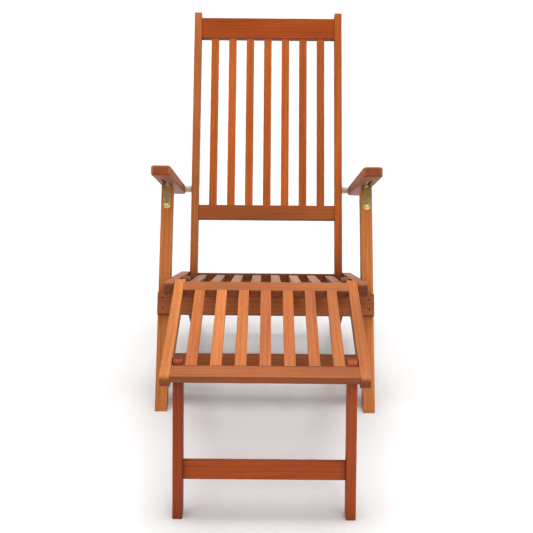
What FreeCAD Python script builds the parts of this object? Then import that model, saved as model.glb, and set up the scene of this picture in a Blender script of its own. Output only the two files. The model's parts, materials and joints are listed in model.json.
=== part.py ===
"""Folding deck chair with an adjustable back, armrests and a folding footrest.

Millimetres. +X is the sitter's left, +Y runs from the footrest to the back, +Z is up.
The origin is on the ground, at the centre of the whole chair's box.
Every frame of the chair (seat, back, arms, legs, footrest) is laid out in the side view:
v runs along the frame, w stands square to it, and the frame's angle is measured from +Y towards +Z.
"""
import FreeCAD, Part
import os
from FreeCAD import Placement, Rotation, Vector
import Sketcher

doc = FreeCAD.newDocument("deck_chair")

# ---------------------------------------------------------------- driving dimensions

DIMENSIONS = [
    # across the chair: how far each layer's inner face is from the middle, and its thickness
    ("stile_inner", 194.5, "backrest stiles and rear legs, inner face"),
    ("stile_thick", 21, "backrest stiles and rear legs, thickness"),
    ("layer_gap", 2, "gap between layers, filled by a washer at each pivot"),
    ("seat_rail_thick", 26, "seat side rails, thickness"),
    ("leg_thick", 30, "front legs, thickness"),
    ("foot_leg_thick", 21, "footrest legs, thickness"),
    ("foot_rail_thick", 22.5, "footrest side rails, thickness"),
    ("arm_width", 48, "armrests, width"),
    ("arm_overhang", 7, "armrest beyond the front leg's outer face"),
    # front legs
    ("leg_angle", 58.1, "front legs, angle from the ground"),
    ("leg_width", 45, "front legs, width in side view"),
    ("seat_pivot_up", 334, "seat pivot, distance up the front leg"),
    ("arm_clear", 1.5, "gap between the leg's top and the armrest"),
    ("upper_rail_clear", 1.66, "gap between the upper rail and the seat rails above it"),
    ("upper_rail_deep", 56, "front legs' upper rail, depth"),
    ("upper_rail_thick", 18, "front legs' upper rail, thickness"),
    ("lower_rail_from", 107, "front legs' lower rail, lower edge up the leg"),
    ("lower_rail_deep", 44, "front legs' lower rail, depth"),
    ("lower_rail_thick", 21, "front legs' lower rail, thickness"),
    # seat
    ("seat_angle", 15.9, "seat's slope down to the rear"),
    ("seat_rail_deep", 36, "seat side rails, depth"),
    ("seat_front", 248, "front end of the seat rails ahead of the seat pivot"),
    ("seat_rear", 362, "rear end of the seat rails behind the seat pivot"),
    ("back_pivot", 308, "back pivot behind the seat pivot, along the seat rail"),
    ("seat_slat_wide", 25, "seat slats, width"),
    ("seat_slat_thick", 12, "seat slats, thickness"),
    ("seat_slat_clear", 2.1, "outermost seat slat to the backrest stile"),
    ("seat_slat_sunk", 8, "seat slats' tops below the side rails' tops"),
    ("seat_cross_deep", 20, "seat front and rear rails, depth"),
    ("seat_front_wide", 30, "seat front rail, width"),
    ("seat_rear_wide", 28, "seat rear rail, width"),
    ("seat_rear_rise", 4, "seat rear rail's top above the slats"),
    ("cross_clear", 6, "least gap between a turning end and a seat cross rail"),
    # backrest
    ("back_angle", 62.3, "backrest, angle from the ground"),
    ("stile_wide", 39, "backrest stiles, width in side view"),
    ("stile_long", 789, "stile above the back pivot"),
    ("arm_pivot_up", 260, "armrest pivot above the back pivot"),
    ("back_rail_thick", 22, "backrest rails, thickness"),
    ("back_rail_inset", 3, "backrest rails behind the stiles' front faces"),
    ("back_low_rail_up", 170, "bottom rail, lower edge above the back pivot"),
    ("back_low_rail_deep", 41, "bottom rail, depth"),
    ("back_top_rail_deep", 62, "top rail, depth"),
    ("back_top_drop", 16, "top rail below the stiles' ends"),
    ("back_slat_wide", 22, "backrest slats, width"),
    ("back_slat_thick", 12, "backrest slats, thickness"),
    ("back_slat_clear", 29.6, "outermost backrest slat to the stile"),
    ("back_slat_inset", 2, "backrest slats behind the rails' front faces"),
    # armrests
    ("arm_angle", 19.05, "armrest's slope down to the rear"),
    ("arm_thick", 25, "armrests, thickness"),
    ("arm_front", 540, "armrest ahead of its pivot"),
    ("arm_tail", 27, "armrest behind its pivot"),
    ("arm_corner", 12, "armrest corners, radius seen from above"),
    ("arm_edge", 5, "armrests' long edges, radius"),
    ("rack_slot_long", 150, "slot for the notched rack, length"),
    ("rack_slot_wide", 13, "slot for the notched rack, width"),
    ("rack_slot_rear", 29, "slot's rear end behind the hook"),
    ("rack_slot_deep", 13, "slot for the notched rack, depth"),
    ("rack_thick", 3, "rack plate, thickness"),
    ("rack_tooth", 5, "rack teeth, height under the plate"),
    ("rack_pitch", 28, "rack teeth, spacing"),
    ("rack_tooth_wide", 4, "rack teeth, width"),
    ("rack_clear", 1.1, "gap between the holding tooth and the strap"),
    # hook straps on the front legs
    ("strap_wide", 22, "brass strap, width"),
    ("tongue_wide", 10, "strap's hooked tongue, width"),
    ("tongue_below", 5, "tongue's root below the armrest's underside, down the leg"),
    ("strap_thick", 2.5, "brass strap, thickness"),
    ("strap_long", 75, "brass strap, length down the leg"),
    ("strap_rise", 8, "strap's hook above the armrest's underside, up the leg"),
    ("strap_hole_up", 13, "screw above the strap's lower end"),
    # rear legs
    ("rear_leg_angle", 34, "rear legs, angle from the ground"),
    ("rear_leg_wide", 40, "rear legs, width in side view"),
    ("rear_rail_out", 222, "rear legs' rail, distance from the seat pivot"),
    ("rear_rail_deep", 40, "rear legs' rail, depth"),
    ("rear_rail_thick", 20, "rear legs' rail, thickness"),
    # footrest
    ("foot_angle", 6.4, "footrest's slope down to the front"),
    ("foot_pivot_ahead", 224, "footrest pivot ahead of the seat pivot"),
    ("foot_pivot_above", 7, "footrest pivot above the seat rail's middle"),
    ("foot_top", 26, "footrest's top above its pivot"),
    ("foot_long", 486, "footrest ahead of its pivot"),
    ("foot_rail_deep", 30, "footrest side rails, depth"),
    ("foot_lug", 15, "radius of the side rails' hinge ends"),
    ("foot_back_gap", 32, "rear cross rail ahead of the pivot"),
    ("foot_cross_wide", 46, "footrest cross rails, width"),
    ("foot_cross_thick", 16, "footrest cross rails, thickness"),
    ("foot_slat_wide", 24, "footrest slats, width"),
    ("foot_slat_thick", 12, "footrest slats, thickness"),
    ("foot_slat_clear", 4.7, "outermost footrest slat to the footrest leg"),
    # footrest legs
    ("foot_leg_angle", 76.2, "footrest legs, angle from the ground"),
    ("foot_leg_wide", 40, "footrest legs, width in side view"),
    ("foot_leg_clear", 3, "gap between the footrest legs and the front cross rail"),
    ("foot_leg_drop", 16, "footrest leg pivot below the footrest's top"),
    ("stretcher_up", 77, "footrest stretcher, lower edge above the ground, up the leg"),
    ("stretcher_deep", 40, "footrest stretcher, depth"),
    ("stretcher_thick", 18, "footrest stretcher, thickness"),
    # fasteners and edges
    ("bolt_r", 4, "pivot bolts, shank radius"),
    ("bolt_clear", 0.1, "radial clearance of a pivot bolt in its hole"),
    ("head_r", 8, "bolt heads and nuts, radius"),
    ("head_deep", 4, "bolt head, thickness"),
    ("nut_deep", 6, "nut, thickness"),
    ("sink_clear", 0.5, "clearance round a sunk head or nut"),
    ("washer_r", 9, "washers and arm spacers, radius"),
    ("screw_r", 2, "screws, shank radius"),
    ("screw_long", 22, "screws, length in the wood"),
    ("screw_head_r", 6, "strap screw's domed head, radius"),
    ("screw_head_high", 2.5, "strap screw's domed head, height"),
    ("screw_slot", 1.2, "slot in a screw's head, width"),
    ("plug_r", 2.8, "upper rail's screw heads, radius"),
    ("plug_deep", 2, "upper rail's screw heads, thickness"),
    ("plug_in", 13, "upper rail's screws from its ends"),
    ("plug_edge", 15, "upper rail's screws from its edges"),
    ("arris", 2, "rounding of the boards' long edges"),
    ("rail_end_r", 12, "rounding of the rails' free ends"),
]
SEAT_SLATS = 8
BACK_SLATS = 7
FOOT_SLATS = 7
RACK_TEETH = (3, 2, 1, 0, -1)  # counted forward from the tooth that holds the hook
HAIR = 0.01  # left flat by a full round, so that its two fillets don't run into one another
ABOUT_X = Rotation(Vector(1, 0, 0), 10)  # an expression sets the angle

sheet = doc.addObject("Spreadsheet::Sheet", "Dims")
for row, (alias, value, note) in enumerate(DIMENSIONS, 1):
    sheet.set(f"A{row}", note)
    sheet.set(f"B{row}", str(value))
    sheet.setAlias(f"B{row}", alias)
doc.recompute()

# ---------------------------------------------------------------- layout worked out from them

LAYOUT = [
    # layers across the chair
    ("stile_outer", "Dims.stile_inner + Dims.stile_thick"),
    ("seat_rail_inner", "stile_outer + Dims.layer_gap"),
    ("seat_rail_outer", "seat_rail_inner + Dims.seat_rail_thick"),
    ("leg_inner", "seat_rail_outer + Dims.layer_gap"),
    ("leg_outer", "leg_inner + Dims.leg_thick"),
    ("foot_rail_inner", "stile_outer - Dims.foot_rail_thick"),
    ("foot_leg_inner", "foot_rail_inner - Dims.layer_gap - Dims.foot_leg_thick"),
    ("arm_outer", "leg_outer + Dims.arm_overhang"),
    ("arm_inner", "arm_outer - Dims.arm_width"),
    # seat pivot, on the front leg's middle line
    ("seat_y", "Dims.seat_pivot_up * cos(Dims.leg_angle) + Dims.leg_width / 2 * sin(Dims.leg_angle)"),
    ("seat_z", "Dims.seat_pivot_up * sin(Dims.leg_angle) - Dims.leg_width / 2 * cos(Dims.leg_angle)"),
    # back pivot, on the seat rail's middle line
    ("back_y", "seat_y + Dims.back_pivot * cos(Dims.seat_angle)"),
    ("back_z", "seat_z - Dims.back_pivot * sin(Dims.seat_angle)"),
    # armrest pivot, on the stile's middle line
    ("arm_y", "back_y + Dims.arm_pivot_up * cos(Dims.back_angle)"),
    ("arm_z", "back_z + Dims.arm_pivot_up * sin(Dims.back_angle)"),
    # the front leg's front face meets the armrest's underside this far up the leg
    ("arm_under_leg",
     "(arm_y * sin(Dims.arm_angle) + arm_z * cos(Dims.arm_angle) - Dims.arm_thick / 2)"
     " / sin(Dims.leg_angle + Dims.arm_angle)"),
    ("leg_top", "arm_under_leg - Dims.arm_clear"),
    # the front legs' upper rail stops short of the seat rails' undersides
    ("leg_to_seat", "Dims.leg_angle + Dims.seat_angle"),
    ("upper_rail_top",
     "Dims.seat_pivot_up - Dims.upper_rail_clear - Dims.seat_rail_deep / 2 / sin(leg_to_seat)"
     " - (Dims.upper_rail_thick + Dims.leg_width / 2) / tan(leg_to_seat)"),
    ("upper_rail_from", "upper_rail_top - Dims.upper_rail_deep"),
    # that meeting point, along the armrest from its pivot
    ("hook_v",
     "(arm_under_leg * cos(Dims.leg_angle) - arm_y) * cos(Dims.arm_angle)"
     " - (arm_under_leg * sin(Dims.leg_angle) - arm_z) * sin(Dims.arm_angle)"),
    # footrest pivot, near the seat rail's front end
    ("foot_y",
     "seat_y - Dims.foot_pivot_ahead * cos(Dims.seat_angle) + Dims.foot_pivot_above * sin(Dims.seat_angle)"),
    ("foot_z",
     "seat_z + Dims.foot_pivot_ahead * sin(Dims.seat_angle) + Dims.foot_pivot_above * cos(Dims.seat_angle)"),
    # footrest leg pivot, near the front end of the footrest's side rail
    ("foot_leg_pivot",
     "Dims.foot_long - Dims.foot_cross_wide - Dims.foot_leg_wide / 2 - Dims.foot_leg_clear"),
    ("foot_leg_w", "Dims.foot_top - Dims.foot_leg_drop"),
    ("foot_leg_y",
     "foot_y - foot_leg_pivot * cos(Dims.foot_angle) - foot_leg_w * sin(Dims.foot_angle)"),
    ("foot_leg_z",
     "foot_z - foot_leg_pivot * sin(Dims.foot_angle) + foot_leg_w * cos(Dims.foot_angle)"),
    # seat frame: slats, cross rails
    ("seat_slat_top", "Dims.seat_rail_deep / 2 - Dims.seat_slat_sunk"),
    ("seat_slat_under", "seat_slat_top - Dims.seat_slat_thick"),
    ("seat_front_face", "-Dims.foot_pivot_ahead + Dims.foot_lug + Dims.cross_clear"),
    ("seat_rear_face", "Dims.back_pivot + Dims.stile_wide / 2 + Dims.cross_clear"),
    # slats: their spacing, so that they spread over the room between the side pieces
    ("seat_slat_pitch",
     f"(Dims.stile_inner - Dims.seat_slat_wide / 2 - Dims.seat_slat_clear) / {(SEAT_SLATS - 1) / 2}"),
    ("back_slat_pitch",
     f"(Dims.stile_inner - Dims.back_slat_wide / 2 - Dims.back_slat_clear) / {(BACK_SLATS - 1) / 2}"),
    ("foot_slat_pitch",
     f"(foot_leg_inner - Dims.foot_slat_wide / 2 - Dims.foot_slat_clear) / {(FOOT_SLATS - 1) / 2}"),
    # backrest: rails
    ("back_top_rail_up", "Dims.stile_long - Dims.back_top_drop - Dims.back_top_rail_deep"),
    ("back_low_rail_top", "Dims.back_low_rail_up + Dims.back_low_rail_deep"),
    ("back_rail_front", "Dims.stile_wide / 2 - Dims.back_rail_inset"),
    ("back_slat_front", "back_rail_front - Dims.back_slat_inset"),
    # footrest: rails
    ("foot_slat_from", "-Dims.foot_long + Dims.foot_cross_wide"),
    ("foot_slat_to", "-Dims.foot_back_gap - Dims.foot_cross_wide"),
    # rear and footrest legs: their middle lines' lengths down to the ground
    ("rear_leg_long", "seat_z / sin(Dims.rear_leg_angle)"),
    ("foot_leg_long", "foot_leg_z / sin(Dims.foot_leg_angle)"),
    # the armrest's slot and rack
    ("slot_from", "hook_v - Dims.rack_slot_long + Dims.rack_slot_rear"),
    ("slot_roof", "Dims.rack_slot_deep - Dims.arm_thick / 2"),
    ("leg_middle", "leg_inner + Dims.leg_thick / 2"),
    ("strap_low", "arm_under_leg + Dims.strap_rise - Dims.strap_long"),
    ("hole_r", "Dims.bolt_r + Dims.bolt_clear"),
    ("sink_r", "Dims.head_r + Dims.sink_clear"),
]
LAYOUT_NAMES = [alias for alias, formula in LAYOUT]

layout = doc.addObject("Spreadsheet::Sheet", "Layout")
for row, (alias, formula) in enumerate(LAYOUT, 1):
    layout.set(f"A{row}", alias)
    layout.set(f"B{row}", "=" + formula.replace("Dims.", "<<Dims>>."))
    layout.setAlias(f"B{row}", alias)
    doc.recompute()


def full(text):
    """An expression in which every bare dimension or layout name has its sheet in front."""
    words, out = [], ""
    for character in str(text) + " ":
        if character.isalnum() or character in "_.":
            words.append(character)
            continue
        word = "".join(words)
        if word in LAYOUT_NAMES:
            word = "Layout." + word
        elif word and word[0].isalpha() and word not in ("cos", "sin", "tan", "sqrt"):
            word = "Dims." + word
        out += word + character
        words = []
    return out.strip()


def number(text):
    """The value of such an expression."""
    value = sheet.evalExpression(full(text))
    return float(getattr(value, "Value", value))


# The frames of the side view: (their origin's Y and Z, their angle)
GROUND_LEG = ("0", "0", "leg_angle")
SEAT = ("seat_y", "seat_z", "-seat_angle")
BACK = ("back_y", "back_z", "back_angle")
ARM = ("arm_y", "arm_z", "-arm_angle")
REAR_LEG = ("seat_y", "seat_z", "-rear_leg_angle")
FOOTREST = ("foot_y", "foot_z", "foot_angle")
FOOT_LEG = ("foot_leg_y", "foot_leg_z", "foot_leg_angle")

pieces = []


def put(piece, frame, x):
    """Places a piece whose own Y is the frame's v and whose own Z is the frame's w."""
    piece.Placement = Placement(Vector(0, 0, 0), ABOUT_X)
    piece.setExpression(".Placement.Rotation.Angle", full(frame[2]))
    piece.setExpression(".Placement.Base.x", full(x))
    piece.setExpression(".Placement.Base.y", full(frame[0]))
    piece.setExpression(".Placement.Base.z", full(frame[1]))
    pieces.append(piece)


def sketch_on(body, role, offset="0"):
    """A sketch on one of the body's own planes, moved along that plane's normal."""
    sketch = body.newObject("Sketcher::SketchObject", "Sketch")
    plane = [f for f in body.Origin.OriginFeatures if f.Role == role][0]
    sketch.AttachmentSupport = [(plane, "")]
    sketch.MapMode = "FlatFace"
    sketch.setExpression(".AttachmentOffset.Base.z", full(offset))
    return sketch


def hold(sketch, kind, geometry, point, text):
    """Ties one coordinate or size of a sketch to an expression."""
    if point is None:
        constraint = Sketcher.Constraint(kind, geometry, number(text))
    else:
        constraint = Sketcher.Constraint(kind, geometry, point, number(text))
    sketch.setExpression(f"Constraints[{sketch.addConstraint(constraint)}]", full(text))


def draw_outline(sketch, corners):
    """A closed outline through the corners, each a pair of expressions."""
    points = [Vector(number(v), number(w), 0) for v, w in corners]
    count = len(points)
    for i in range(count):
        sketch.addGeometry(Part.LineSegment(points[i], points[(i + 1) % count]), False)
    for i in range(count):
        sketch.addConstraint(Sketcher.Constraint("Coincident", i, 2, (i + 1) % count, 1))
    for i, (v, w) in enumerate(corners):
        hold(sketch, "DistanceX", i, 1, v)
        hold(sketch, "DistanceY", i, 1, w)


def draw_circle(sketch, v, w, radius):
    centre = Vector(number(v), number(w), 0)
    index = sketch.addGeometry(Part.Circle(centre, Vector(0, 0, 1), number(radius)), False)
    hold(sketch, "DistanceX", index, 3, v)
    hold(sketch, "DistanceY", index, 3, w)
    hold(sketch, "Radius", index, None, radius)


def pad(body, sketch, length):
    feature = body.newObject("PartDesign::Pad", "Pad")
    feature.Profile = sketch
    feature.setExpression("Length", full(length))
    body.Tip = feature
    doc.recompute()


def cut(body, sketch, depth, along_normal):
    """Cuts the sketch's shapes into the body, along its plane's normal or against it."""
    before = body.Shape.Volume
    feature = body.newObject("PartDesign::Pocket", "Pocket")
    feature.Profile = sketch
    feature.setExpression("Length", full(depth))
    feature.Reversed = along_normal
    body.Tip = feature
    doc.recompute()
    assert body.Shape.Volume < before - 1, f"{body.Label}: a pocket cuts nothing"


def round_edges(body, belongs, radius):
    """Rounds the edges whose box passes the test."""
    base = body.Tip
    names = [f"Edge{i}" for i, edge in enumerate(base.Shape.Edges, 1) if belongs(edge.BoundBox)]
    feature = body.newObject("PartDesign::Fillet", "Fillet")
    feature.Base = (base, names)
    feature.setExpression("Radius", full(radius))
    body.Tip = feature
    doc.recompute()


def near(a, b):
    return abs(a - b) < HAIR


def across_at(v, w):
    """Picks the edge parallel to X through (v, w)."""
    y, z = number(v), number(w)
    return lambda box: near(box.YMin, y) and near(box.YMax, y) and near(box.ZMin, z) and near(box.ZMax, z)


def in_side_faces(thick):
    """Picks the edges of the board's two large faces."""
    far = number(thick)
    return lambda box: near(box.XLength, 0) and (near(box.XMin, 0) or near(box.XMin, far))


def board(label, frame, x, thick, corners, rounded=(), arris="arris", lug=None):
    """A board: its outline in the side view, its rounded corners, then its long edges eased.

    rounded lists (a corner's index, radius); lug is the radius of a crisp hinge end about the frame's origin."""
    body = doc.addObject("PartDesign::Body", label)
    body.Label = label
    sketch = sketch_on(body, "YZ_Plane")
    draw_outline(sketch, corners)
    pad(body, sketch, thick)
    for index, radius in rounded:
        round_edges(body, across_at(*corners[index]), radius)
    if arris:
        round_edges(body, in_side_faces(thick), arris)
    if lug:
        sketch = sketch_on(body, "YZ_Plane")
        draw_circle(sketch, "0", "0", lug)
        pad(body, sketch, thick)
    put(body, frame, x)
    return body


def rectangle(v0, v1, w0, w1):
    return [(v0, w0), (v1, w0), (v1, w1), (v0, w1)]


def bore(body, v, w, thick):
    """A pivot bolt's hole through a board."""
    sketch = sketch_on(body, "YZ_Plane")
    draw_circle(sketch, v, w, "hole_r")
    cut(body, sketch, thick, True)


def sink(body, v, w, thick, depth, inner, side):
    """A round recess for a bolt's head or nut, in a board's inner or outer face."""
    far = inner == (side < 0)
    sketch = sketch_on(body, "YZ_Plane", thick if far else "0")
    draw_circle(sketch, v, w, "sink_r")
    cut(body, sketch, depth, not far)


def both_sides(name, make):
    """Makes the +X and the -X copy of a side piece, which are the sitter's left and right."""
    make(name + "_left", 1)
    make(name + "_right", -1)


def x_of(side, inner, thick):
    """Where a side piece's own X of nought goes."""
    return inner if side > 0 else f"-({inner}) - ({thick})"


def cross_board(label, frame, half, v0, v1, w0, w1):
    """A board that runs across the chair from -half to +half."""
    rounded = [(i, "arris") for i in range(4)]
    return board(label, frame, f"-({half})", f"2 * ({half})", rectangle(v0, v1, w0, w1), rounded, None)


def slats(name, count, frame, pitch, wide, v0, v1, w0, w1):
    """Identical slats spread evenly across the chair."""
    for i in range(count):
        middle = f"({i} - {(count - 1) / 2}) * {pitch}"
        board(f"{name}_{i + 1}", frame, f"{middle} - {wide} / 2", wide, rectangle(v0, v1, w0, w1))


# ---------------------------------------------------------------- seat


def make_seat_rail(label, side):
    half = "seat_rail_deep / 2"
    corners = rectangle("-seat_front", "seat_rear", f"-{half}", half)
    x = x_of(side, "seat_rail_inner", "seat_rail_thick")
    rail = board(label, SEAT, x, "seat_rail_thick", corners, [(i, "rail_end_r") for i in range(4)])
    bore(rail, "0", "0", "seat_rail_thick")
    for v, w in (("back_pivot", "0"), ("-foot_pivot_ahead", "foot_pivot_above")):
        bore(rail, v, w, "seat_rail_thick")
        sink(rail, v, w, "seat_rail_thick", "nut_deep", False, side)


both_sides("seat_rail", make_seat_rail)
cross_board("seat_front_rail", SEAT, "seat_rail_inner",
            "seat_front_face", "seat_front_face + seat_front_wide",
            "seat_slat_under - seat_cross_deep", "seat_slat_under")
cross_board("seat_rear_rail", SEAT, "seat_rail_inner",
            "seat_rear_face", "seat_rear_face + seat_rear_wide",
            "seat_slat_under - seat_cross_deep", "seat_slat_top + seat_rear_rise")
slats("seat_slat", SEAT_SLATS, SEAT, "seat_slat_pitch", "seat_slat_wide",
      "seat_front_face", "seat_rear_face", "seat_slat_under", "seat_slat_top")

# ---------------------------------------------------------------- backrest


def make_stile(label, side):
    half = "stile_wide / 2"
    corners = rectangle(f"-{half}", "stile_long", f"-{half}", half)
    rounded = [(0, f"{half} - {HAIR}"), (3, f"{half} - {HAIR}"), (1, "arris"), (2, "arris")]
    x = x_of(side, "stile_inner", "stile_thick")
    stile = board(label, BACK, x, "stile_thick", corners, rounded)
    for v in ("0", "arm_pivot_up"):
        bore(stile, v, "0", "stile_thick")
        sink(stile, v, "0", "stile_thick", "head_deep", True, side)


both_sides("backrest_stile", make_stile)
cross_board("backrest_bottom_rail", BACK, "stile_inner", "back_low_rail_up", "back_low_rail_top",
            "back_rail_front - back_rail_thick", "back_rail_front")
cross_board("backrest_top_rail", BACK, "stile_inner",
            "back_top_rail_up", "back_top_rail_up + back_top_rail_deep",
            "back_rail_front - back_rail_thick", "back_rail_front")
slats("backrest_slat", BACK_SLATS, BACK, "back_slat_pitch", "back_slat_wide",
      "back_low_rail_top", "back_top_rail_up", "back_slat_front - back_slat_thick", "back_slat_front")

# ---------------------------------------------------------------- front legs


def screw_places():
    """The upper rail's screws: (x, v) of each, two at each end."""
    rows = ("upper_rail_from + plug_edge", "upper_rail_top - plug_edge")
    return [(f"{sign} * (leg_outer - plug_in)", v) for sign in ("1", "-1") for v in rows]


def make_front_leg(label, side):
    """Its foot is cut level with the ground."""
    corners = [
        ("0", "0"),
        ("leg_width / tan(leg_angle)", "-leg_width"),
        ("leg_top", "-leg_width"),
        ("leg_top", "0"),
    ]
    x = x_of(side, "leg_inner", "leg_thick")
    leg = board(label, GROUND_LEG, x, "leg_thick", corners, [(2, "rail_end_r"), (3, "arris")])
    pivot = ("seat_pivot_up", "-leg_width / 2", "leg_thick")
    bore(leg, *pivot)
    sink(leg, *pivot, "nut_deep", False, side)
    holes = sketch_on(leg, "XY_Plane")
    draw_circle(holes, f"{side} * leg_middle - ({x})", "strap_low + strap_hole_up", "screw_r")
    for across, v in screw_places():
        if number(across) * side > 0:
            draw_circle(holes, f"{across} - ({x})", v, "screw_r")
    cut(leg, holes, "screw_long", False)


def make_strap(label, side):
    """A brass strap on the leg's front face, whose narrow tongue hooks into the armrest's rack."""
    corners = rectangle("strap_low", "arm_under_leg + strap_rise", "0", "strap_thick")
    x = f"{side} * leg_middle - strap_wide / 2"
    strap = board(label, GROUND_LEG, x, "strap_wide", corners, arris=None)
    low = number("strap_low")
    round_edges(strap, lambda box: near(box.YMax, low) and box.ZLength > 1 and near(box.XLength, 0),
                "strap_wide / 2 - 0.1")
    for near_x, far_x in (("0", "(strap_wide - tongue_wide) / 2"),
                          ("(strap_wide + tongue_wide) / 2", "strap_wide")):
        shoulder = sketch_on(strap, "XY_Plane")
        draw_outline(shoulder, rectangle(near_x, far_x, "arm_under_leg - tongue_below",
                                         "arm_under_leg + strap_rise"))
        cut(strap, shoulder, "strap_thick", True)
    hole = sketch_on(strap, "XY_Plane")
    draw_circle(hole, "strap_wide / 2", "strap_low + strap_hole_up", "screw_r")
    cut(strap, hole, "strap_thick", True)


both_sides("front_leg", make_front_leg)
upper_rail = cross_board("front_leg_upper_rail", GROUND_LEG, "leg_outer", "upper_rail_from",
                         "upper_rail_top", "0", "upper_rail_thick")
for radius, depth in (("screw_r", "upper_rail_thick"), ("plug_r", "plug_deep")):
    holes = sketch_on(upper_rail, "XY_Plane", "upper_rail_thick")
    for across, v in screw_places():
        draw_circle(holes, f"{across} + leg_outer", v, radius)
    cut(upper_rail, holes, depth, False)
cross_board("front_leg_lower_rail", GROUND_LEG, "leg_inner", "lower_rail_from",
            "lower_rail_from + lower_rail_deep",
            "-(leg_width + lower_rail_thick) / 2", "-(leg_width - lower_rail_thick) / 2")
both_sides("hook_strap", make_strap)

# ---------------------------------------------------------------- rear legs


def make_rear_leg(label, side):
    """A round upper end about the seat pivot, and a foot cut level with the ground."""
    half = "rear_leg_wide / 2"
    corners = [
        (f"-{half}", f"-{half}"),
        (f"rear_leg_long - {half} / tan(rear_leg_angle)", f"-{half}"),
        (f"rear_leg_long + {half} / tan(rear_leg_angle)", half),
        (f"-{half}", half),
    ]
    rounded = [(0, f"{half} - {HAIR}"), (3, f"{half} - {HAIR}")]
    x = x_of(side, "stile_inner", "stile_thick")
    leg = board(label, REAR_LEG, x, "stile_thick", corners, rounded)
    bore(leg, "0", "0", "stile_thick")
    sink(leg, "0", "0", "stile_thick", "head_deep", True, side)


both_sides("rear_leg", make_rear_leg)
cross_board("rear_leg_rail", REAR_LEG, "stile_inner", "rear_rail_out", "rear_rail_out + rear_rail_deep",
            "-rear_rail_thick / 2", "rear_rail_thick / 2")

# ---------------------------------------------------------------- armrests


def make_armrest(label, side):
    half = "arm_thick / 2"
    corners = rectangle("-arm_front", "arm_tail", f"-{half}", half)
    x = x_of(side, "arm_inner", "arm_width")
    arm = board(label, ARM, x, "arm_width", corners, arris=None)
    deep = number("arm_thick") - 0.1
    round_edges(arm, lambda box: box.ZLength > deep and near(box.XLength, 0), "arm_corner")
    top = number(half)
    round_edges(arm, lambda box: near(box.ZMin, top) or near(box.ZMax, -top), "arm_edge")
    bore(arm, "0", "0", "arm_width")
    sink(arm, "0", "0", "arm_width", "nut_deep", False, side)
    slot = sketch_on(arm, "YZ_Plane", f"{side} * leg_middle - rack_slot_wide / 2 - ({x})")
    draw_outline(slot, rectangle("slot_from", "slot_from + rack_slot_long", f"-{half}", "slot_roof"))
    cut(arm, slot, "rack_slot_wide", True)


def make_rack(label, side):
    """A notched plate in the armrest's slot. The hook rests behind the second tooth from the rear."""
    plate = "slot_roof - rack_thick"
    tip = f"{plate} - rack_tooth"
    corners = [("slot_from", "slot_roof"), ("slot_from", plate)]
    for i in RACK_TEETH:
        rear = f"hook_v - strap_thick - rack_clear - {i} * rack_pitch"
        front = f"{rear} - rack_tooth_wide"
        corners += [(front, plate), (front, tip), (rear, tip), (rear, plate)]
    corners += [("slot_from + rack_slot_long", plate), ("slot_from + rack_slot_long", "slot_roof")]
    x = f"{side} * leg_middle - rack_slot_wide / 2"
    board(label, ARM, x, "rack_slot_wide", corners, arris=None)


both_sides("armrest", make_armrest)
both_sides("armrest_rack", make_rack)

# ---------------------------------------------------------------- footrest


def make_foot_rail(label, side):
    low = "foot_top - foot_rail_deep"
    corners = [
        ("-foot_long", low),
        ("0", low),
        ("0", "foot_lug / 2"),
        ("-foot_back_gap", "foot_top"),
        ("-foot_long", "foot_top"),
    ]
    rounded = [(0, "rail_end_r"), (3, "rail_end_r"), (4, "rail_end_r")]
    x = x_of(side, "foot_rail_inner", "foot_rail_thick")
    rail = board(label, FOOTREST, x, "foot_rail_thick", corners, rounded, lug="foot_lug")
    bore(rail, "0", "0", "foot_rail_thick")
    sink(rail, "0", "0", "foot_rail_thick", "head_deep", True, side)
    bore(rail, "-foot_leg_pivot", "foot_leg_w", "foot_rail_thick")
    sink(rail, "-foot_leg_pivot", "foot_leg_w", "foot_rail_thick", "nut_deep", False, side)


def make_foot_leg(label, side):
    half = "foot_leg_wide / 2"
    corners = [
        (f"-foot_leg_long + {half} / tan(foot_leg_angle)", f"-{half}"),
        (half, f"-{half}"),
        (half, half),
        (f"-foot_leg_long - {half} / tan(foot_leg_angle)", half),
    ]
    rounded = [(1, f"{half} - {HAIR}"), (2, f"{half} - {HAIR}")]
    x = x_of(side, "foot_leg_inner", "foot_leg_thick")
    leg = board(label, FOOT_LEG, x, "foot_leg_thick", corners, rounded)
    bore(leg, "0", "0", "foot_leg_thick")
    sink(leg, "0", "0", "foot_leg_thick", "head_deep", True, side)


both_sides("footrest_rail", make_foot_rail)
cross_board("footrest_rear_rail", FOOTREST, "foot_rail_inner", "foot_slat_to", "-foot_back_gap",
            "foot_top - foot_cross_thick", "foot_top")
cross_board("footrest_front_rail", FOOTREST, "foot_rail_inner", "-foot_long", "foot_slat_from",
            "foot_top - foot_cross_thick", "foot_top")
slats("footrest_slat", FOOT_SLATS, FOOTREST, "foot_slat_pitch", "foot_slat_wide",
      "foot_slat_from", "foot_slat_to", "foot_top - foot_slat_thick", "foot_top")
both_sides("footrest_leg", make_foot_leg)
cross_board("footrest_leg_stretcher", FOOT_LEG, "foot_leg_inner",
            "stretcher_up - foot_leg_long", "stretcher_up - foot_leg_long + stretcher_deep",
            "-stretcher_thick / 2", "stretcher_thick / 2")

# ---------------------------------------------------------------- fasteners


def point(frame, v, w):
    """A frame's point (v, w) as expressions for its Y and Z."""
    y, z, angle = frame
    return (f"{y} + ({v}) * cos({angle}) - ({w}) * sin({angle})",
            f"{z} + ({v}) * sin({angle}) + ({w}) * cos({angle})")


def aim(solid, x, y, z):
    solid.setExpression(".Placement.Base.x", full(x))
    solid.setExpression(".Placement.Base.y", full(y))
    solid.setExpression(".Placement.Base.z", full(z))


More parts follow.
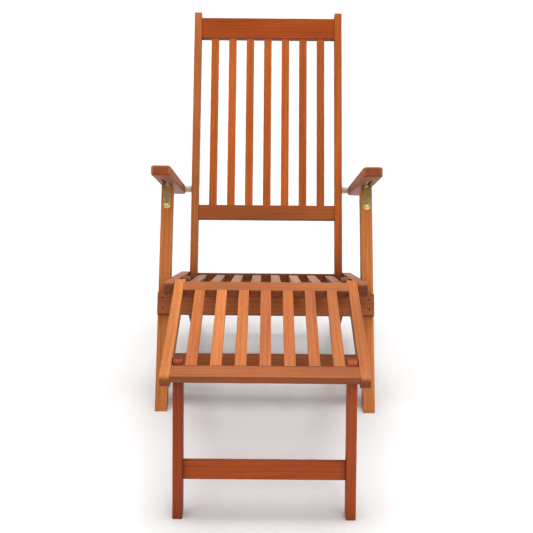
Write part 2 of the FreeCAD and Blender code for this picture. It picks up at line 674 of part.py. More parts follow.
def rod(x, y, z, length, radius):
    """A cylinder along X."""
    solid = doc.addObject("Part::Cylinder", "Rod")
    solid.setExpression("Radius", full(radius))
    solid.setExpression("Height", full(length))
    solid.Placement = Placement(Vector(0, 0, 0), Rotation(Vector(0, 1, 0), 90))
    aim(solid, x, y, z)
    return solid


def joined(kind, first, second):
    solid = doc.addObject(kind, "Joined")
    solid.Base = first
    solid.Tool = second
    return solid


def ring(side, inner, y, z, length, radius, hole):
    """A washer, spacer or nut from an inner face outwards."""
    x = x_of(side, inner, length)
    return joined("Part::Cut", rod(x, y, z, length, radius), rod(x, y, z, length, hole))


def bolt(side, inner, outer, y, z):
    """A bolt whose head is sunk in the inner face and whose end is flush with the outer face."""
    shank = rod(x_of(side, inner, f"({outer}) - ({inner})"), y, z, f"({outer}) - ({inner})", "bolt_r")
    head = rod(x_of(side, inner, "head_deep"), y, z, "head_deep", "head_r")
    return joined("Part::Fuse", shank, head)


def group(label, solids):
    """Several identical fasteners as one piece of separate solids."""
    compound = doc.addObject("Part::Compound", label)
    compound.Label = label
    compound.Links = solids
    pieces.append(compound)


SIDES = (1, -1)
SEAT_PIVOT = point(SEAT, "0", "0")
BACK_PIVOT = point(SEAT, "back_pivot", "0")
FOOT_PIVOT = point(FOOTREST, "0", "0")
ARM_PIVOT = point(ARM, "0", "0")
FOOT_LEG_PIVOT = point(FOOT_LEG, "0", "0")

# (inner face, outer face, where): each pivot on the seat
SEAT_BOLTS = [
    ("stile_inner", "leg_outer", SEAT_PIVOT),
    ("stile_inner", "seat_rail_outer", BACK_PIVOT),
    ("foot_rail_inner", "seat_rail_outer", FOOT_PIVOT),
]
group("seat_pivot_bolts", [bolt(s, inner, outer, *at) for s in SIDES for inner, outer, at in SEAT_BOLTS])
group("seat_pivot_nuts", [ring(s, f"{outer} - nut_deep", *at, "nut_deep", "head_r", "bolt_r")
                          for s in SIDES for inner, outer, at in SEAT_BOLTS])
WASHERS = [
    ("stile_outer", SEAT_PIVOT),
    ("seat_rail_outer", SEAT_PIVOT),
    ("stile_outer", BACK_PIVOT),
    ("stile_outer", FOOT_PIVOT),
]
group("seat_pivot_washers", [ring(s, inner, *at, "layer_gap", "washer_r", "hole_r")
                             for s in SIDES for inner, at in WASHERS])
group("armrest_pivot_bolts", [bolt(s, "stile_inner", "arm_outer", *ARM_PIVOT) for s in SIDES])
group("armrest_pivot_nuts", [ring(s, "arm_outer - nut_deep", *ARM_PIVOT, "nut_deep", "head_r", "bolt_r")
                             for s in SIDES])
group("armrest_spacers", [ring(s, "stile_outer", *ARM_PIVOT, "arm_inner - stile_outer", "washer_r",
                               "hole_r") for s in SIDES])
group("footrest_leg_bolts", [bolt(s, "foot_leg_inner", "stile_outer", *FOOT_LEG_PIVOT) for s in SIDES])
group("footrest_leg_nuts", [ring(s, "stile_outer - nut_deep", *FOOT_LEG_PIVOT, "nut_deep", "head_r",
                                 "bolt_r") for s in SIDES])


def stud(x, v, w, length, radius):
    """A cylinder square to the front leg's face, running back from w."""
    solid = doc.addObject("Part::Cylinder", "Stud")
    solid.setExpression("Radius", full(radius))
    solid.setExpression("Height", full(length))
    solid.Placement = Placement(Vector(0, 0, 0), ABOUT_X)
    solid.setExpression(".Placement.Rotation.Angle", full("leg_angle"))
    aim(solid, x, *point(GROUND_LEG, v, f"{w} - ({length})"))
    return solid


def strap_screw(side):
    """A screw with a slotted, domed head that stands on the strap."""
    x, v = f"{side} * leg_middle", "strap_low + strap_hole_up"
    shank = stud(x, v, "strap_thick", "screw_long", "screw_r")
    dome = doc.addObject("Part::Cone", "Dome")
    dome.setExpression("Radius1", full("screw_head_r"))
    dome.setExpression("Radius2", full("screw_head_r / 2"))
    dome.setExpression("Height", full("screw_head_high"))
    slot = doc.addObject("Part::Box", "Slot")
    slot.setExpression("Length", full("2 * screw_head_r"))
    slot.setExpression("Width", full("screw_slot"))
    slot.setExpression("Height", full("screw_head_high"))
    for solid in (dome, slot):
        solid.Placement = Placement(Vector(0, 0, 0), ABOUT_X)
        solid.setExpression(".Placement.Rotation.Angle", full("leg_angle"))
    aim(dome, x, *point(GROUND_LEG, v, "strap_thick"))
    aim(slot, f"{x} - screw_head_r",
        *point(GROUND_LEG, f"{v} - screw_slot / 2", "strap_thick + screw_head_high / 2"))
    return joined("Part::Fuse", shank, joined("Part::Cut", dome, slot))


def rail_screw(x, v):
    """A screw through the upper rail into the leg, its head flush with the rail."""
    shank = stud(x, v, "upper_rail_thick", "upper_rail_thick + screw_long", "screw_r")
    return joined("Part::Fuse", shank, stud(x, v, "upper_rail_thick", "plug_deep", "plug_r"))


group("hook_strap_screws", [strap_screw(side) for side in SIDES])
group("front_leg_rail_screws", [rail_screw(x, v) for x, v in screw_places()])
doc.recompute()

# ---------------------------------------------------------------- checks and files

for thing in doc.Objects:
    assert "Invalid" not in thing.State and "Error" not in thing.State, f"{thing.Label}: {thing.State}"

shapes = {}
for piece in pieces:
    shape = piece.Shape.copy()
    assert not shape.isNull() and shape.isValid(), f"{piece.Label} has no valid shape"
    shapes[piece.Label] = shape

box = FreeCAD.BoundBox()
for shape in shapes.values():
    box.add(shape.optimalBoundingBox(False))
origin = Vector(0, (box.YMin + box.YMax) / 2, 0)

os.makedirs("parts", exist_ok=True)
for label, shape in shapes.items():
    shape.translate(-origin)
    shape.exportStep(f"parts/{label}.step")

size = f"{box.XLength:.1f} x {box.YLength:.1f} x {box.ZLength:.1f}"
print(f"{len(shapes)} pieces, box {size}, zmin {box.ZMin:.3f}")
for name, (y, z) in (("seat", SEAT_PIVOT), ("back", BACK_PIVOT), ("arm", ARM_PIVOT),
                     ("footrest", FOOT_PIVOT), ("footrest leg", FOOT_LEG_PIVOT)):
    print(f"{name} pivot at Y {number(y) - origin.y:.3f}, Z {number(z):.3f}")
print(f"front feet at Y {-origin.y:.3f}")
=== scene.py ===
# %% [markdown]
# # A folding deck chair in oiled hardwood
#
# The wooden boards of this chair come finished from the CAD frame: cut, bored and eased along their edges.
# What is left for Blender is what the eye meets first, which is the wood itself and the small fittings.
# The lesson paints every board along its own grain, then turns and files the brass, steel and nylon parts.

# %% Load the chair's frame
import json
import math
import random

import bmesh
import bpy
from mathutils import Matrix, Vector


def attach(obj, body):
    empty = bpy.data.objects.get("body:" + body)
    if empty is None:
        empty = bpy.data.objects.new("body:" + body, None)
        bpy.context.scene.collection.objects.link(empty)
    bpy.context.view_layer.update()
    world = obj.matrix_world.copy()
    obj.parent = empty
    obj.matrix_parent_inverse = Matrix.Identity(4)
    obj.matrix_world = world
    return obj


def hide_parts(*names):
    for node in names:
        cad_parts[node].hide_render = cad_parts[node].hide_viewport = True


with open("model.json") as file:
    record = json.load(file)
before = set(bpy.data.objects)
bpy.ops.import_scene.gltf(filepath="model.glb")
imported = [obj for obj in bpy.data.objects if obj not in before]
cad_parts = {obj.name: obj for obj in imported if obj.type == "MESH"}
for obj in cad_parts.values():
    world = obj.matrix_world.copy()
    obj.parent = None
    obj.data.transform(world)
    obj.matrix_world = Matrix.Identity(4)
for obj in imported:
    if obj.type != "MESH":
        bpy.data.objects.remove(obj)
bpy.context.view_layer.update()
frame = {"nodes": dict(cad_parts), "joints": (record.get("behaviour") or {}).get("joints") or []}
nodes = frame["nodes"]

# %% [markdown]
# ## Where things are
#
# The chair is laid out in side view, so each wooden part has an angle of its own.
# A board of the front legs, for instance, runs up at 58.1 degrees from the ground.
# The pivots come from the frame's own joints, each as a place in Y and Z.
# Metres are used throughout, and +X is the sitter's left.

# %% Name the angles and read the pivots
MM = 0.001
ANGLES = {
    "leg": 58.1,
    "seat": -15.9,
    "back": 62.3,
    "arm": -19.05,
    "rear_leg": -34.0,
    "footrest": 6.4,
    "foot_leg": 76.2,
}
HINGES = {
    "seat": "front_legs_fold",
    "back": "backrest_fold",
    "arm": "left_armrest_turn",
    "footrest": "footrest_swing",
    "foot_leg": "footrest_legs_fold",
}
SIDES = {1: "left", -1: "right"}
joint_places = {joint["name"]: joint["pos_m"] for joint in frame["joints"]}
pivots = {name: tuple(joint_places[hinge][1:]) for name, hinge in HINGES.items()}
print("the pivots in Y and Z are", pivots)

# %% [markdown]
# ## Working along a leg or an armrest
#
# The fittings lie along a leg or an armrest, so their shapes are easiest to give in that part's own lines.
# The leg's line is its front face, which meets the ground a little in front of the pivot's own line.
# The armrest's line starts at its pivot.
# Naming these lines once lets each later step say "along the leg" instead of repeating the sums.

# %% Turn places along a part into places in the chair
LEG_HALF_DEEP = 22.5 * MM
steepness = math.radians(ANGLES["leg"])
pivot_y, pivot_z = pivots["seat"]
leg_meets_ground = pivot_y - pivot_z / math.tan(steepness) - LEG_HALF_DEEP / math.sin(steepness)
starts = {"leg": (leg_meets_ground, 0.0), "arm": pivots["arm"]}


def on_part(name, x, v, w):
    """The matrix that carries a piece to (x, v, w) of a part: v along its line, w square to it."""
    y, z = starts[name]
    turn = Matrix.Rotation(math.radians(ANGLES[name]), 4, "X")
    return Matrix.Translation((0, y, z)) @ turn @ Matrix.Translation((x, v, w))


def measured(node, name):
    """A CAD piece's lowest and highest corner along the lines of a part."""
    back = on_part(name, 0, 0, 0).inverted()
    points = [back @ vertex.co for vertex in nodes[node].data.vertices]
    lowest = [min(point[axis] for point in points) for axis in range(3)]
    highest = [max(point[axis] for point in points) for axis in range(3)]
    return lowest, highest


print("the leg's front face meets the ground at Y", round(leg_meets_ground, 6))

# %% [markdown]
# ## Colours as they are mixed
#
# Colours are easiest to name as they look on a screen, from 0 to 255.
# A shader works with light instead, so a named colour has its screen curve taken off before it is used.
# That curve is the usual one: a straight line near black and a power of 2.4 above it.

# %% Turn a screen colour into light


def paint(red, green, blue):
    """A screen colour as the light values a shader works with."""
    def light(value):
        value /= 255
        return value / 12.92 if value <= 0.04045 else ((value + 0.055) / 1.055) ** 2.4
    return (light(red), light(green), light(blue), 1.0)


print("a warm oiled brown is", [round(value, 3) for value in paint(187, 110, 66)])

# %% [markdown]
# ## Small helpers for wiring shader nodes
#
# A shader is a chain of small boxes joined by wires.
# The first helper adds one box, sets its plain values and plugs its inputs.
# The others add the three boxes that come up most: a colour ramp, a sum and a mix of two colours.

# %% Add one box


def add_node(tree, kind, settings=(), inputs=()):
    """Adds a shader box. inputs are (socket, value or another box's output)."""
    made = tree.nodes.new(kind)
    for name, value in dict(settings).items():
        setattr(made, name, value)
    for socket, value in inputs:
        target = made.inputs[socket]
        if isinstance(value, bpy.types.NodeSocket):
            tree.links.new(value, target)
        else:
            target.default_value = value
    return made


print("one box at a time")

# %% Add a ramp, a sum or a mix


def add_ramp(tree, source, stops):
    """A colour ramp: stops are (position, grey or colour)."""
    made = add_node(tree, "ShaderNodeValToRGB", inputs=[("Fac", source)])
    ramp = made.color_ramp
    while len(ramp.elements) > 1:
        ramp.elements.remove(ramp.elements[0])
    for index, (position, value) in enumerate(stops):
        element = ramp.elements[0] if index == 0 else ramp.elements.new(position)
        element.position = position
        element.color = value if isinstance(value, tuple) else (value, value, value, 1)
    return made.outputs["Color"]


def add_maths(tree, operation, first, second=0.0, third=0.0):
    """One sum done on up to three values."""
    values = [(0, first), (1, second), (2, third)]
    return add_node(tree, "ShaderNodeMath", {"operation": operation}, values).outputs[0]


def add_mix(tree, kind, share, first, second):
    """Two colours mixed by a share from 0 to 1."""
    made = add_node(tree, "ShaderNodeMix", {"data_type": "RGBA", "blend_type": kind},
                    [(0, share), (6, first), (7, second)])
    return made.outputs[2]


def tinted(tree, colour, tint):
    """A colour multiplied by another."""
    return add_mix(tree, "MULTIPLY", 1.0, colour, tint)


print("the wiring helpers are ready")

# %% [markdown]
# ## Oiled hardwood, written once
#
# Tropical hardwood shows long streaks where the growth rings run out along a board, fine fibres,
# short open pores, and a slow drift from pale to dark over each plank.
# All of it is stretched along the length, so the recipe works in board coordinates: X is along the grain.
# Painting with a picture would be quicker, but a picture repeats and goes soft close up.

# %% Four noises drawn out along the grain
GRAIN = {
    "figure": {"stretch": (1.0, 24.0, 24.0), "detail": 4.0, "roughness": 0.6, "distortion": 0.5},
    "drift": {"stretch": (1.9, 9.0, 9.0), "detail": 2.0, "roughness": 0.5},
    "fibre": {"stretch": (11.0, 620.0, 620.0), "detail": 3.0, "roughness": 0.6},
    "pore": {"stretch": (70.0, 1500.0, 1500.0), "detail": 1.0, "roughness": 0.5},
}


def scaled(tree, vector, stretch):
    """Coordinates multiplied axis by axis."""
    made = add_node(tree, "ShaderNodeVectorMath", {"operation": "MULTIPLY"}, [(0, vector), (1, stretch)])
    return made.outputs[0]


def stretched_noise(tree, vector, stretch, detail, roughness, distortion=0.0):
    """Cloudy noise drawn out along the grain."""
    noise = add_node(tree, "ShaderNodeTexNoise", inputs=[
        ("Vector", scaled(tree, vector, stretch)), ("Scale", 1.0), ("Detail", detail),
        ("Roughness", roughness), ("Distortion", distortion)])
    return noise.outputs["Fac"]


print("the grain is made of", ", ".join(GRAIN))

# %% [markdown]
# ## Streaks, drift, fibres and pores
#
# The growth rings of the trunk run nearly along a board, so they are slowed down along X.
# They are blended with the soft figure, because clean rings alone look like a pattern printed on a table.
# The streaks choose between a darker and a paler oil, and the drift, fibres and pores then multiply it.

# %% Colour the wood along its grain
RINGS = [
    ("Scale", 34.0), ("Distortion", 3.2), ("Detail", 2.0), ("Detail Scale", 1.4), ("Detail Roughness", 0.6),
]
RINGS_SLOWED = (0.16, 1, 1)
RINGS_SHARE = 0.2
DARK_OIL = (0.84, 0.77, 0.7, 1)
PALE_OIL = (1.08, 1.1, 1.1, 1)
STREAK_STOPS = [(0.3, 0.0), (0.48, 0.55), (0.68, 1.0)]
DRIFT_STOPS = [(0.3, (0.78, 0.74, 0.72, 1)), (0.7, 1.12)]
FIBRE_STOPS = [(0.3, (0.82, 0.79, 0.76, 1)), (0.62, 1.06)]
PORE_STOPS = [(0.64, 0.0), (0.72, 1.0)]
PORE_SHARE = 0.55
PORE_TINT = (0.35, 0.27, 0.22, 1)


def streaks(tree, board, figure):
    """Rings and figure blended into one value."""
    slowed = scaled(tree, board, RINGS_SLOWED)
    rings = add_node(tree, "ShaderNodeTexWave", {"wave_type": "RINGS", "rings_direction": "X"},
                     [("Vector", slowed)] + RINGS).outputs["Fac"]
    return add_maths(tree, "ADD", add_maths(tree, "MULTIPLY", rings, RINGS_SHARE),
                     add_maths(tree, "MULTIPLY", figure, 1 - RINGS_SHARE))


def grained(tree, colour, streak, drift, fibre, pores):
    """The board's colour with its streaks, drift, fibres and pores."""
    wood = add_mix(tree, "MIX", add_ramp(tree, streak, STREAK_STOPS),
                   tinted(tree, colour, DARK_OIL), tinted(tree, colour, PALE_OIL))
    wood = tinted(tree, wood, add_ramp(tree, drift, DRIFT_STOPS))
    wood = tinted(tree, wood, add_ramp(tree, fibre, FIBRE_STOPS))
    return add_mix(tree, "MULTIPLY", add_maths(tree, "MULTIPLY", pores, PORE_SHARE), wood, PORE_TINT)


print("the rings take", RINGS_SHARE, "of the streaks")

# %% [markdown]
# ## Ends, worn edges and painted shade in corners
#
# Two things happen to a board after it leaves the saw.
# Its end grain drinks more oil and turns dark, and its edges are rubbed pale by hands and clothes.
# The corners where boards meet get painted shade as well.
# A Bevel box finds the edges by comparing a rounded surface with the true one, and an Ambient Occlusion
# box finds the corners where the shade is painted.

# %% Wear the wood and paint shade into its corners
END_STOPS = [(0.75, 0.0), (0.95, 1.0)]
END_TINT = (0.62, 0.55, 0.5, 1)
EDGE_SAMPLES = 4
WOOD_ROUNDING = 3 * MM
WOOD_WORN_STOPS = [(0.004, 0.0), (0.09, 1.0)]
WORN_PATCHES = [(0.35, 0.15), (0.65, 0.8)]
WORN_SHARE = 0.45
WORN_TINT = (1.45, 1.42, 1.35, 1)
# Painted shade in corners: how far the Ambient Occlusion box looks, and how dark it paints.
PAINTED_SHADE_REACH = 0.09
PAINTED_SHADE_SAMPLES = 6
PAINTED_SHADE_STOPS = [(0.25, (0.4, 0.3, 0.22, 1)), (0.85, 1.0)]


def edge_wear(tree, rounding, stops):
    """A value that is high where the surface turns over an edge."""
    soft = add_node(tree, "ShaderNodeBevel", {"samples": EDGE_SAMPLES}, [("Radius", rounding)]).outputs["Normal"]
    true = add_node(tree, "ShaderNodeNewGeometry").outputs["Normal"]
    bend = add_node(tree, "ShaderNodeVectorMath", {"operation": "DOT_PRODUCT"}, [(0, soft), (1, true)])
    return add_ramp(tree, add_maths(tree, "SUBTRACT", 1.0, bend.outputs["Value"]), stops)


def darkened_ends(tree, wood, facing):
    """Wood whose end grain has drunk more oil."""
    along = add_node(tree, "ShaderNodeSeparateXYZ", inputs=[("Vector", facing)]).outputs["X"]
    end_grain = add_ramp(tree, add_maths(tree, "ABSOLUTE", along), END_STOPS)
    return add_mix(tree, "MULTIPLY", end_grain, wood, END_TINT)


def weathered_with_painted_light(tree, wood, colour, worn):
    """Wood that is rubbed pale along its edges, with painted shade where other parts are close by."""
    rubbed = add_mix(tree, "MIX", add_maths(tree, "MULTIPLY", worn, WORN_SHARE), wood,
                     tinted(tree, colour, WORN_TINT))
    # Painted shade: the colour is darkened where the Ambient Occlusion box finds other parts close by.
    painted_shade_occlusion = add_node(tree, "ShaderNodeAmbientOcclusion", {"samples": PAINTED_SHADE_SAMPLES},
                        [("Distance", PAINTED_SHADE_REACH)])
    return tinted(tree, rubbed, add_ramp(tree, painted_shade_occlusion.outputs["AO"], PAINTED_SHADE_STOPS))


print("edges are rubbed over", WOOD_ROUNDING, "metres")

# %% [markdown]
# ## The recipe as a node group
#
# A node group holds the whole recipe once, and each board feeds it its own direction, colour and offset.
# It gives back three things: the colour, the roughness, and a height for the finest relief.
# Fibres and worn places are rougher than the oiled face, and the pores are pressed in.

# %% Put the recipe together
ROUGH_LEAST = 0.32
ROUGH_SHARES = {"fibre": 0.22, "figure": 0.14, "worn": 0.12}
FIBRE_HEIGHT = 0.5
PORE_DEPTH = 0.9


def make_wood_recipe():
    """The node group: board coordinates and a colour in, the finished wood's values out."""
    tree = bpy.data.node_groups.new("oiled hardwood recipe", "ShaderNodeTree")
    for name, kind in (("Board", "Vector"), ("Facing", "Vector"), ("Colour", "Color")):
        tree.interface.new_socket(name, in_out="INPUT", socket_type="NodeSocket" + kind)
    for name, kind in (("Colour", "Color"), ("Roughness", "Float"), ("Height", "Float")):
        tree.interface.new_socket(name, in_out="OUTPUT", socket_type="NodeSocket" + kind)
    given = tree.nodes.new("NodeGroupInput").outputs
    board, colour = given["Board"], given["Colour"]

    grain = {name: stretched_noise(tree, board, **row) for name, row in GRAIN.items()}
    figure, fibre = grain["figure"], grain["fibre"]
    streak = streaks(tree, board, figure)
    pores = add_ramp(tree, grain["pore"], PORE_STOPS)
    worn = edge_wear(tree, WOOD_ROUNDING, WOOD_WORN_STOPS)
    worn = add_maths(tree, "MULTIPLY", worn, add_ramp(tree, figure, WORN_PATCHES))
    wood = grained(tree, colour, streak, grain["drift"], fibre, pores)
    # Dark end grain, rubbed edges, and painted shade in the corners.
    wood = weathered_with_painted_light(tree, darkened_ends(tree, wood, given["Facing"]), colour, worn)

    rough = ROUGH_LEAST
    for name, value in (("fibre", fibre), ("figure", figure), ("worn", worn)):
        rough = add_maths(tree, "ADD", rough, add_maths(tree, "MULTIPLY", value, ROUGH_SHARES[name]))
    raised = add_maths(tree, "ADD", add_maths(tree, "MULTIPLY", fibre, FIBRE_HEIGHT), streak)
    height = add_maths(tree, "SUBTRACT", raised, add_maths(tree, "MULTIPLY", pores, PORE_DEPTH))
    outputs = tree.nodes.new("NodeGroupOutput").inputs
    for name, value in (("Colour", wood), ("Roughness", rough), ("Height", height)):
        tree.links.new(value, outputs[name])
    return tree


recipe = make_wood_recipe()
print("the wood recipe has", len(recipe.nodes), "boxes")

# %% [markdown]
# ## Starting a material
#
# Every finish starts as a new material with one main shader, and most end with a little relief.
# A Bump box only bends the light, so the relief costs no faces, which is right for marks this fine.

# %% Start a finish, and add relief


def start_finish(name):
    """A new material, its tree and its main shader."""
    material = bpy.data.materials.new(name)
    material.use_nodes = True
    tree = material.node_tree
    return material, tree, tree.nodes["Principled BSDF"]


def add_relief(tree, shader, height, strength_and_distance):
    """Fine relief from a height."""
    bump = add_node(tree, "ShaderNodeBump", inputs=[("Height", height)] + strength_and_distance)
    tree.links.new(bump.outputs[0], shader.inputs["Normal"])


print("finishes start from the Principled shader")

# %% [markdown]
# ## One finish for each board
#
# No two boards come from the same plank, so each gets the recipe with its own offset into the tree.
# The Mapping box turns the piece's own coordinates until X lies along the board:
# a tilt about X brings the part level, and a quarter turn about Z then brings a long board onto X.
# A board that runs across the chair already has X along its length and needs no quarter turn.
# Faces that look sideways or down get painted shade, darker than the faces that look up, and faces that look
# straight up are a touch paler.

# %% Lay the recipe along a board
# Painted shade by facing: how dark a face is painted as it turns from up to down.
FACING_SHADE_STOPS = [(0.35, (0.5, 0.43, 0.38, 1)), (0.53, (0.68, 0.62, 0.58, 1)), (0.7, 1.0), (1.0, 1.04)]
PLANK_SHIFTS = (3.7, 0.91, 0.57)
BOARD_SHINE = 0.22
BOARD_RELIEF = [("Strength", 0.35), ("Distance", 0.5 * MM)]


def shaded_by_facing(tree, facing, colour):
    """A colour with painted shade: darker where the surface looks sideways or down."""
    upward = add_node(tree, "ShaderNodeSeparateXYZ", inputs=[("Vector", facing)]).outputs["Z"]
    from_nought_to_one = add_maths(tree, "MULTIPLY_ADD", upward, 0.5, 0.5)
    return tinted(tree, colour, add_ramp(tree, from_nought_to_one, FACING_SHADE_STOPS))


def oiled_board(name, part, across, colour, seed):
    """A board's finish: its grain direction, its colour and its place in the tree."""
    material, tree, shader = start_finish("wood " + name)
    place = add_node(tree, "ShaderNodeTexCoord").outputs
    turn = (-math.radians(ANGLES[part]), 0, 0 if across else -math.pi / 2)
    shift = tuple(seed * step for step in PLANK_SHIFTS)
    board = add_node(tree, "ShaderNodeMapping", {"vector_type": "POINT"},
                     [("Vector", place["Object"]), ("Rotation", turn), ("Location", shift)])
    facing = add_node(tree, "ShaderNodeMapping", {"vector_type": "POINT"},
                      [("Vector", place["Normal"]), ("Rotation", turn)])
    # The colour fed in carries painted shade on the faces that look sideways or down.
    wood = add_node(tree, "ShaderNodeGroup", {"node_tree": recipe}, [
        ("Board", board.outputs[0]), ("Facing", facing.outputs[0]),
        ("Colour", shaded_by_facing(tree, place["Normal"], colour))])
    tree.links.new(wood.outputs["Colour"], shader.inputs["Base Color"])
    tree.links.new(wood.outputs["Roughness"], shader.inputs["Roughness"])
    add_relief(tree, shader, wood.outputs["Height"], BOARD_RELIEF)
    shader.inputs["Specular IOR Level"].default_value = BOARD_SHINE
    return material


print("each board starts", PLANK_SHIFTS, "metres further into the tree")

# %% [markdown]
# ## Choosing the boards' colours
#
# The oil brings out a red brown, and every plank takes it a little differently.
# The shades also carry painted light and shade besides each plank's own tone: boards that sit in shade take
# darker shades, and the left and right boards of a pair can take different ones.
# A few shades are named first, and each board takes one of them.
# The table then gives each board the part it belongs to, whether it runs across, and its shade.

# %% Sort the planks into shades
# Painted light and shade: each shade holds the light or shade its boards get, as well as the wood's tone.
SHADES = {
    "darkest": (160, 65, 20),
    "deep": (180, 80, 20),
    "brown": (185, 100, 45),
    "plain": (175, 100, 55),
    "shaded": (160, 90, 50),
    "red": (205, 105, 40),
    "honey": (195, 115, 60),
    "dusty": (200, 115, 65),
    "sunned": (205, 120, 65),
    "palest": (220, 135, 70),
    # A greyer shade: partly weathering, partly a painted reflection of the sky's glare on the seat slats' tops.
    "weathered_with_painted_light": (160, 110, 80),
}
BOARDS = {
    "backrest_top_rail": ("back", True, "deep"),
    "backrest_bottom_rail": ("back", True, "brown"),
    "backrest_stile_left": ("back", False, "red"),
    "backrest_stile_right": ("back", False, "honey"),
    "backrest_slat": ("back", False, "red"),
    "footrest_slat": ("footrest", False, "sunned"),
    "footrest_front_rail": ("footrest", True, "plain"),
    "footrest_rear_rail": ("footrest", True, "honey"),
    "footrest_rail_left": ("footrest", False, "sunned"),
    "footrest_rail_right": ("footrest", False, "palest"),
    "footrest_leg_left": ("foot_leg", False, "deep"),
    "footrest_leg_right": ("foot_leg", False, "darkest"),
    "footrest_leg_stretcher": ("foot_leg", True, "deep"),
    "front_leg_left": ("leg", False, "palest"),
    "front_leg_right": ("leg", False, "palest"),
    "front_leg_upper_rail": ("leg", True, "plain"),
    "front_leg_lower_rail": ("leg", True, "shaded"),
    "rear_leg_left": ("rear_leg", False, "plain"),
    "rear_leg_right": ("rear_leg", False, "plain"),
    "rear_leg_rail": ("rear_leg", True, "shaded"),
    "armrest_left": ("arm", False, "dusty"),
    "armrest_right": ("arm", False, "dusty"),
    "seat_rail_left": ("seat", False, "plain"),
    "seat_rail_right": ("seat", False, "plain"),
    "seat_front_rail": ("seat", True, "darkest"),
    "seat_rear_rail": ("seat", True, "plain"),
    # The seat slats' grey shade is partly weathering and partly a painted reflection of the sky's glare.
    "seat_slat": ("seat", False, "weathered_with_painted_light"),
}
print(len(BOARDS), "kinds of board in", len(SHADES), "shades")

# %% [markdown]
# ## Painting the boards
#
# A small chance change keeps neighbours in a row of slats from matching too well.
# Boards that stand alone keep their shade exactly.
# The seed of the chance is fixed, so that the chair comes out the same each time.

# %% Paint every board
TONE_CHANGE = 0.06
HUE_CHANGE = 0.025
chance = random.Random(11)


def row_of(name):
    """The table's row for a piece: its own name, or its name without its number."""
    return name if name in BOARDS else name.rstrip("0123456789").rstrip("_")


def paint_board(name, seed):
    """Gives a CAD piece the finish of its row in the table."""
    part, across, shade = BOARDS[row_of(name)]
    alone = name in BOARDS
    tone = 1 if alone else 1 + chance.uniform(-TONE_CHANGE, TONE_CHANGE)
    warmth = 1 if alone else 1 + chance.uniform(-HUE_CHANGE, HUE_CHANGE)
    red, green, blue = SHADES[shade]
    mixed = paint(red * tone, green * tone * warmth, blue * tone * warmth * warmth)
    finish = oiled_board(name, part, across, mixed, seed)
    for part_slot in nodes[name].material_slots:
        part_slot.material = finish


wooden = sorted(name for name in nodes if row_of(name) in BOARDS)
for seed, name in enumerate(wooden, 1):
    paint_board(name, seed)
print(len(wooden), "boards painted")

# %% [markdown]
# ## Metal and nylon
#
# The straps are brass that has been handled outdoors: bright where fingers rub, brown in cloudy stains.
# The bolts, nuts and notched racks are zinc-coated steel, which is duller and slightly mottled.
# The spacers and washers are pale nylon, a smooth plastic.
# All of them use the same idea of two noises: a cloudy one for staining and a fine one for scratches.

# %% Finish the fittings
STAINING = {"stretch": (90.0, 90.0, 90.0), "detail": 4.0, "roughness": 0.6}
SCRATCHES = {"stretch": (2600.0, 420.0, 420.0), "detail": 2.0, "roughness": 0.5}
STAIN_STOPS = [(0.4, 0.0), (0.66, 1.0)]
FITTING_ROUNDING = 0.8 * MM
FITTING_WORN_STOPS = [(0.01, 0.0), (0.12, 0.7)]
RUBBED_TINT = (1.2, 1.2, 1.2, 1)
STAIN_ROUGH = 0.25
SCRATCH_ROUGH = 0.12
SCRATCH_RELIEF = [("Strength", 0.2), ("Distance", 0.05 * MM)]


def small_part_finish(name, colour, stain, metal, rough):
    """A finish for the fittings, with staining, fine scratches and worn edges."""
    material, tree, shader = start_finish(name)
    place = add_node(tree, "ShaderNodeTexCoord").outputs["Object"]
    cloud = stretched_noise(tree, place, **STAINING)
    fine = stretched_noise(tree, place, **SCRATCHES)
    stained = add_mix(tree, "MIX", add_ramp(tree, cloud, STAIN_STOPS), colour, stain)
    rubbed = edge_wear(tree, FITTING_ROUNDING, FITTING_WORN_STOPS)
    seen = add_mix(tree, "MIX", rubbed, stained, tinted(tree, colour, RUBBED_TINT))
    uneven = add_maths(tree, "ADD", add_maths(tree, "MULTIPLY", cloud, STAIN_ROUGH),
                       add_maths(tree, "MULTIPLY", fine, SCRATCH_ROUGH))
    tree.links.new(seen, shader.inputs["Base Color"])
    tree.links.new(add_maths(tree, "ADD", uneven, rough), shader.inputs["Roughness"])
    add_relief(tree, shader, fine, SCRATCH_RELIEF)
    shader.inputs["Metallic"].default_value = metal
    return material


brass = small_part_finish("handled brass", paint(255, 236, 164), paint(232, 202, 128), metal=1.0, rough=0.2)
steel = small_part_finish("zinc steel", paint(206, 206, 200), paint(150, 152, 150), metal=1.0, rough=0.2)
dark_steel = small_part_finish("darkened steel", paint(84, 50, 30), paint(52, 28, 16), metal=0.2, rough=0.4)
nylon = small_part_finish("pale nylon", paint(222, 210, 184), paint(198, 184, 156), metal=0.0, rough=0.3)
print("four finishes for the fittings")

# %% [markdown]
# ## Turning round parts
#
# Washers, spacers, nuts and bolts all come off a lathe, so they are made as one would turn them:
# a profile of (distance along, radius) is spun once round the X axis.
# Two points at each corner of the profile leave the small chamfer that a real edge has.

# %% Spin a profile
TURN_STEPS = 40
JOIN = 1e-6


def turned(profile, closed=False):
    """Spins a profile of (along, radius) pairs round X. A closed profile makes a ring."""
    made = bmesh.new()
    points = [made.verts.new((along, 0, radius)) for along, radius in profile]
    pairs = list(zip(points, points[1:])) + ([(points[-1], points[0])] if closed else [])
    lines = [made.edges.new(pair) for pair in pairs]
    bmesh.ops.spin(made, geom=points + lines, axis=(1, 0, 0), cent=(0, 0, 0), steps=TURN_STEPS,
                   angle=2 * math.pi, use_merge=True)
    bmesh.ops.remove_doubles(made, verts=made.verts, dist=JOIN)
    bmesh.ops.recalc_face_normals(made, faces=made.faces)
    return made


print("a full turn takes", TURN_STEPS, "steps")

